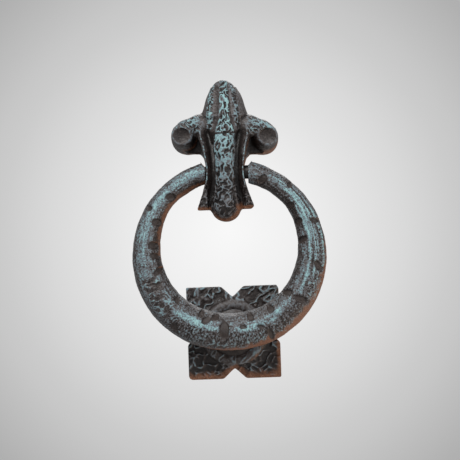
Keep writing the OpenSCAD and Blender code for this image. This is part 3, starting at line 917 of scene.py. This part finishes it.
def build_button(material):
    """The strike bolt: a low dome on a square neck, with a plain shank and thread."""
    rise = BUTTON_D - PLATE_T - 2
    cap_r = (BUTTON_R**2 + rise**2) / (2 * rise)
    head = [(-BUTTON_D + cap_r * (1 - math.cos(s)), cap_r * math.sin(s))
            for s in np.linspace(0, math.asin(BUTTON_R / cap_r), 40)]
    edge = [(-PLATE_T - 1.6, BUTTON_R), (-PLATE_T - 0.4, BUTTON_R), (-PLATE_T, BUTTON_R - 0.4)]
    head = head[:-1] + [(-PLATE_T - 2.1, BUTTON_R - 0.12)] + edge
    tail = [(-PLATE_T, 5.4), (-PLATE_T + 0.01, 5.3), (-0.4, 5.3), (0.0, 5.0), (0.0, 3.0)]
    neck = slice(len(head), len(head) + 4)
    points, quads = threaded_rod(head + tail, 144, PLATE_X, PLATE_Z, neck)
    face = step(PLATE_T + 1.0, PLATE_T + 2.4, points[:, 1])
    relief = (Noise(41).layers(points / 3.0, 3) * 0.10 + gnarl(points, 3.4, 42) * 0.12) * face
    points[:, 1] += relief - 0.16 * face
    rough = Noise(43).layers(points / 2.4, 3)
    # the lower half of the dome is painted darker: painted shadow of the ring
    tone = 0.36 + 0.10 * rough - 0.06 * (1 - face) - 0.12 * step(-4, -10, points[:, 2] - PLATE_Z)
    piece = make_piece("strike_bolt", points, quads, {
        "tone": tone, "speck": 0.4 + 0 * face, "rust_and_warm_light": 0.2 * (1 - face), "dent": 0 * face})
    return finish_piece(piece, "door_side", "patinated_iron", material, "strike_button")


def build_pin(material):
    x0, x1 = PIN_X
    rows = [(x0, 0.0), (x0, PIN_R - 0.5), (x0 + 0.5, PIN_R)]
    rows += [(x, PIN_R) for x in np.linspace(x0 + 1, x1 - 1, 60)]
    rows += [(x1 - 0.5, PIN_R), (x1, PIN_R - 0.5), (x1, 0.0)]
    angle = np.linspace(0, 2 * np.pi, 96, endpoint=False)
    x, r = spread_rows(rows, angle)
    turn = (angle + 0 * x).ravel()
    wear = Noise(51).layers(np.stack([x.ravel() / 0.5, np.cos(turn), np.sin(turn)], 1), 2)
    r = np.minimum(r, np.maximum(r - 0.03 - 0.03 * wear.reshape(r.shape), 0))
    points = np.stack([x, PIN_D + r * np.cos(angle), r * np.sin(angle)], -1).reshape(-1, 3)
    piece = make_piece("hinge_pin_turned", points, grid_quads(len(rows), 96))
    return finish_piece(piece, "swinging_ring", "dark_pin", material, "hinge_pin")


# ---------------------------------------------------------------- materials


class Nodes:
    """Short calls for building a material's nodes."""

    def __init__(self, name):
        self.material = bpy.data.materials.new(name)
        self.material.use_nodes = True
        self.tree = self.material.node_tree
        self.shader = self.tree.nodes["Principled BSDF"]
        coords = self.tree.nodes.new("ShaderNodeTexCoord")
        self.coords = coords.outputs["Object"]
        scale = self.add("ShaderNodeVectorMath", operation="SCALE")
        self.link(self.coords, scale.inputs[0])
        scale.inputs["Scale"].default_value = 1000
        self.mm = scale.outputs["Vector"]

    def add(self, kind, **settings):
        node = self.tree.nodes.new(kind)
        for key, value in settings.items():
            setattr(node, key, value)
        return node

    def link(self, a, b):
        self.tree.links.new(a, b)

    def put(self, value, socket):
        if isinstance(value, (int, float)):
            socket.default_value = value
        else:
            self.link(value, socket)

    def math(self, op, a, b=0.0, c=0.0, clamp=False):
        node = self.add("ShaderNodeMath", operation=op, use_clamp=clamp)
        for value, socket in zip((a, b, c), node.inputs):
            self.put(value, socket)
        return node.outputs[0]

    def remap(self, value, a, b, to_a=0.0, to_b=1.0):
        node = self.add("ShaderNodeMapRange", interpolation_type="SMOOTHSTEP")
        self.put(value, node.inputs["Value"])
        for key, v in (("From Min", a), ("From Max", b), ("To Min", to_a), ("To Max", to_b)):
            node.inputs[key].default_value = v
        return node.outputs["Result"]

    def attribute(self, name):
        return self.add("ShaderNodeAttribute", attribute_name=name).outputs["Fac"]

    def noise(self, size, detail=4.0, roughness=0.6, stretch=None):
        node = self.add("ShaderNodeTexNoise")
        vector = self.mm
        if stretch:
            scaled = self.add("ShaderNodeVectorMath", operation="MULTIPLY")
            self.link(self.mm, scaled.inputs[0])
            scaled.inputs[1].default_value = stretch
            vector = scaled.outputs["Vector"]
        self.link(vector, node.inputs["Vector"])
        for key, v in (("Scale", 1 / size), ("Detail", detail), ("Roughness", roughness)):
            node.inputs[key].default_value = v
        return node.outputs["Fac"]

    def cells(self, size, warp):
        """Distance to the nearest of scattered points, whose cells are bent by noise."""
        node = self.add("ShaderNodeTexVoronoi")
        tex = self.add("ShaderNodeTexNoise")
        self.link(self.mm, tex.inputs["Vector"])
        tex.inputs["Scale"].default_value = 0.7 / size
        move = self.add("ShaderNodeVectorMath", operation="MULTIPLY_ADD")
        self.link(tex.outputs["Color"], move.inputs[0])
        move.inputs[1].default_value = (warp, warp, warp)
        self.link(self.mm, move.inputs[2])
        self.link(move.outputs["Vector"], node.inputs["Vector"])
        node.inputs["Scale"].default_value = 1 / size
        return node.outputs["Distance"]

    def ramp(self, value, stops):
        node = self.add("ShaderNodeValToRGB")
        self.put(value, node.inputs["Fac"])
        band = node.color_ramp
        while len(band.elements) < len(stops):
            band.elements.new(0.5)
        for element, (at, colour) in zip(band.elements, stops):
            element.position = at
            element.color = (*colour, 1)
        return node.outputs["Color"]

    def mix(self, share, a, b):
        node = self.add("ShaderNodeMix", data_type="RGBA")
        for value, socket in ((share, 0), (a, 6), (b, 7)):
            self.link(value, node.inputs[socket])
        return node.outputs[2]

    def bump(self, height, distance, strength, normal=None):
        node = self.add("ShaderNodeBump")
        self.link(height, node.inputs["Height"])
        node.inputs["Distance"].default_value = distance / 1000
        node.inputs["Strength"].default_value = strength
        if normal:
            self.link(normal, node.inputs["Normal"])
        return node.outputs["Normal"]


def patina_material(name, pitted, gain=1.0):
    """Dark brown casting, dry-brushed blue-green on what stands proud, bare brown metal and painted warm
    light on its undersides.
    """
    n = Nodes(name)
    tone, speck = n.attribute("tone"), n.attribute("speck")
    rust_and_warm_light, dent = n.attribute("rust_and_warm_light"), n.attribute("dent")

    grain = n.noise(1.0, 4.0, 0.6)
    dust = n.noise(0.4, 3.0, 0.7)
    pit = n.remap(n.cells(1.15, warp=0.9), 0.50, 0.16)

    rough_share = n.math("MULTIPLY_ADD", speck, 0.8, 0.2)
    spread = n.math("MULTIPLY_ADD", n.math("SUBTRACT", grain, 0.5), gain, tone)
    less = n.math("SUBTRACT", spread, tone)
    level = n.math("MULTIPLY_ADD", less, n.math("SUBTRACT", rough_share, 1.0), spread)
    level = n.math("MULTIPLY_ADD", n.math("MULTIPLY", pit, speck), -pitted, level)
    level = n.math("MULTIPLY_ADD", n.math("SUBTRACT", dust, 0.5), 0.16, level, clamp=True)

    colour = n.ramp(level, tuple((at, paint(*rgb)) for at, rgb in PATINA))
    blotches = n.math("MULTIPLY_ADD", dust, 0.5, n.math("MULTIPLY", grain, 0.5))
    flat_colour = n.ramp(blotches, ((0.30, paint(36, 29, 27)), (0.70, paint(66, 56, 52))))
    colour = n.mix(n.remap(dent, 0.25, 0.6, 0.0, 0.96), colour, flat_colour)
    # brown mixed in: partly bare metal, partly painted warm light from the lower right
    rust_and_warm_light_colour = n.ramp(blotches, (
        (0.30, paint(78, 48, 34)), (0.52, paint(126, 82, 56)), (0.72, paint(150, 110, 86))))
    share = n.math("MULTIPLY", rust_and_warm_light, n.remap(level, 0.95, 0.55, 0.3, 0.95))
    colour = n.mix(share, colour, rust_and_warm_light_colour)
    n.link(colour, n.shader.inputs["Base Color"])

    rough = n.remap(level, 0.1, 0.9, 0.46, 0.66)
    rough = n.math("MULTIPLY_ADD", n.math("SUBTRACT", dust, 0.5), 0.2, rough)
    n.link(rough, n.shader.inputs["Roughness"])
    n.shader.inputs["Metallic"].default_value = 0.0
    n.shader.inputs["Specular IOR Level"].default_value = 0.35

    rough_height = n.math("MULTIPLY_ADD", n.math("MULTIPLY", pit, speck), -0.8, grain)
    calm = n.math("MULTIPLY_ADD", dent, -0.75, 1.0)
    height = n.math("MULTIPLY", rough_height, calm)
    first = n.bump(height, 0.22, 0.7)
    n.link(n.bump(dust, 0.05, 0.5, first), n.shader.inputs["Normal"])
    return n.material


def steel_material(name, dark=False):
    n = Nodes(name)
    smear = n.noise(4.0, 4.0)
    turned = n.noise(0.4, 3.0, 0.6, stretch=(3.0, 0.4, 0.4) if dark else (0.4, 3.0, 0.4))
    value = n.math("MULTIPLY_ADD", smear, 0.6, n.math("MULTIPLY", turned, 0.4))
    if dark:
        stops = ((0.3, (0.012, 0.011, 0.011)), (0.6, (0.035, 0.032, 0.031)), (0.8, (0.10, 0.09, 0.085)))
    else:
        stops = ((0.3, (0.26, 0.25, 0.23)), (0.6, (0.48, 0.47, 0.45)), (0.8, (0.66, 0.65, 0.62)))
    n.link(n.ramp(value, stops), n.shader.inputs["Base Color"])
    n.link(n.remap(value, 0.3, 0.8, 0.30, 0.55), n.shader.inputs["Roughness"])
    n.shader.inputs["Metallic"].default_value = 0.6 if dark else 1.0
    n.link(n.bump(value, 0.04, 0.6), n.shader.inputs["Normal"])
    return n.material


# ---------------------------------------------------------------- camera, light and surroundings

CAMERA_DISTANCE = 2.0
VIEW_WIDTH = 0.2861  # what the picture's width covers at the ring
AIM = Vector((0.0019, -PIN_D / 1000, -0.0357))
ROLL = math.radians(2.0)  # the photograph leans a little

camera_data = bpy.data.cameras.new("camera")
camera_data.sensor_width = 36
camera_data.lens = 36 * CAMERA_DISTANCE / VIEW_WIDTH
camera_data.clip_start = 0.01
camera_data.clip_end = 20
camera = place_in_scene("camera", camera_data)
forward = Vector((0, 1, 0))
right = Vector((math.cos(ROLL), 0, -math.sin(ROLL)))
up = Vector((math.sin(ROLL), 0, math.cos(ROLL)))
place = AIM - forward * CAMERA_DISTANCE
camera.matrix_world = Matrix((
    (right.x, up.x, -forward.x, place.x),
    (right.y, up.y, -forward.y, place.y),
    (right.z, up.z, -forward.z, place.z),
    (0, 0, 0, 1),
))
bpy.context.scene.camera = camera
bpy.context.scene.view_settings.view_transform = "Standard"

LAMPS_AIM = Vector((0, -0.02, -0.04))


def area_light(name, at, size, power, colour):
    """A square lamp that faces the knocker."""
    data = bpy.data.lights.new(name, "AREA")
    data.shape = "RECTANGLE"
    data.size = data.size_y = size
    data.energy = power
    data.color = colour
    lamp = place_in_scene(name, data)
    lamp.location = at
    lamp.rotation_euler = (LAMPS_AIM - Vector(at)).to_track_quat("-Z", "Y").to_euler()


area_light("key", (-0.45, -1.1, 1.15), 0.7, 26, (1.0, 0.99, 0.97))
area_light("fill", (0.9, -1.0, 0.35), 0.9, 7, (0.97, 0.98, 1.0))
area_light("warm_low", (0.9, -0.15, -0.75), 0.5, 5, (1.0, 0.78, 0.6))
area_light("back_top", (0.2, 1.2, 1.0), 0.8, 14, (1.0, 1.0, 1.0))

# How bright the studio's shell is at each distance in metres from the line of sight.
SHELL_GREYS = ((0.0, 0.94), (0.10, 0.87), (0.186, 0.767), (0.253, 0.694), (0.322, 0.60), (0.352, 0.571),
               (0.455, 0.434), (0.6, 0.42))


def stage_mesh(name, verts, faces, nodes):
    mesh = bpy.data.meshes.new(name)
    mesh.from_pydata(verts, [], faces)
    mesh.materials.append(nodes.material)
    piece = place_in_scene(name, mesh)
    return mesh


def build_shell():
    """A pale studio shell about the object, brightest straight behind and in front of it."""
    rings, sides, radius = 48, 96, 2.6
    verts, faces = [], []
    for i in range(rings + 1):
        polar = math.pi * i / rings
        for j in range(sides):
            turn = 2 * math.pi * j / sides
            verts.append((radius * math.sin(polar) * math.cos(turn), radius * math.cos(polar),
                          radius * math.sin(polar) * math.sin(turn) + AIM.z))
    for i in range(rings):
        for j in range(sides):
            k = (j + 1) % sides
            faces.append((i * sides + j, i * sides + k, (i + 1) * sides + k, (i + 1) * sides + j))
    n = Nodes("studio_shell")
    split = n.add("ShaderNodeSeparateXYZ")
    n.link(n.coords, split.inputs[0])
    dx, dz = split.outputs["X"], n.math("SUBTRACT", split.outputs["Z"], AIM.z)
    spread = n.math("SQRT", n.math("MULTIPLY_ADD", dx, dx, n.math("MULTIPLY", dz, dz)))
    glow = n.add("ShaderNodeEmission")
    n.link(n.ramp(spread, tuple((at, (grey, grey, grey)) for at, grey in SHELL_GREYS)), glow.inputs["Color"])
    n.link(glow.outputs[0], n.tree.nodes["Material Output"].inputs["Surface"])
    n.tree.nodes.remove(n.shader)
    mesh = stage_mesh("studio_shell", verts, faces, n)
    mesh.polygons.foreach_set("use_smooth", np.ones(len(faces), bool))


def build_floor():
    """A plain pale floor, far below the object and out of the main view."""
    rings, sides, radius, z = 12, 96, 2.15, -1.35
    verts, faces = [(0, 0, z)], []
    for i in range(1, rings + 1):
        for j in range(sides):
            turn = 2 * math.pi * j / sides
            verts.append((radius * i / rings * math.cos(turn), radius * i / rings * math.sin(turn), z))
    for j in range(sides):
        k = (j + 1) % sides
        faces.append((0, 1 + j, 1 + k))
        for i in range(rings - 1):
            a = 1 + i * sides
            faces.append((a + j, a + sides + j, a + sides + k, a + k))
    n = Nodes("studio_floor")
    greys = ((0.3, (0.66, 0.66, 0.66)), (0.7, (0.72, 0.72, 0.72)))
    n.link(n.ramp(n.noise(120.0, 4.0), greys), n.shader.inputs["Base Color"])
    n.shader.inputs["Roughness"].default_value = 0.8
    stage_mesh("studio_floor", verts, faces, n)


build_shell()
build_floor()
world = bpy.data.worlds.new("world")
bpy.context.scene.world = world
world.use_nodes = True
world.node_tree.nodes["Background"].inputs["Color"].default_value = (0.45, 0.45, 0.45, 1)

# ---------------------------------------------------------------- build

cast = patina_material("patina_on_bracket", 0.14, 0.6)
plate_cast = patina_material("patina_on_plate", 0.10, 0.5)
ring_cast = patina_material("patina_on_ring", 0.42, 1.9)
steel = steel_material("zinc_steel")
dark_steel = steel_material("oiled_steel", dark=True)

build_bracket(cast)
build_ring(ring_cast)
build_plate(plate_cast)
build_button(plate_cast)
build_pin(dark_steel)

DOOR_T, WASHER_T = 44.0, 1.6
UPPER_STUD_Z, LOWER_STUD_Z = 30.0, -15.0
for which, x, z in (("upper", 0, UPPER_STUD_Z), ("lower", 0, LOWER_STUD_Z), ("strike", PLATE_X, PLATE_Z)):
    if which != "strike":
        build_stud(which + "_threaded_stud", which + "_stud", z, steel)
    build_washer(which + "_flat_washer", which + "_washer", x, z, steel, 9.0, 3.2, DOOR_T, WASHER_T)
    build_washer(which + "_split_washer", which + "_spring_washer", x, z, steel, 5.9, 3.15, DOOR_T + WASHER_T,
                 WASHER_T, split=0.3)
    build_nut(which + "_hex_nut", which + "_nut", x, z, steel)
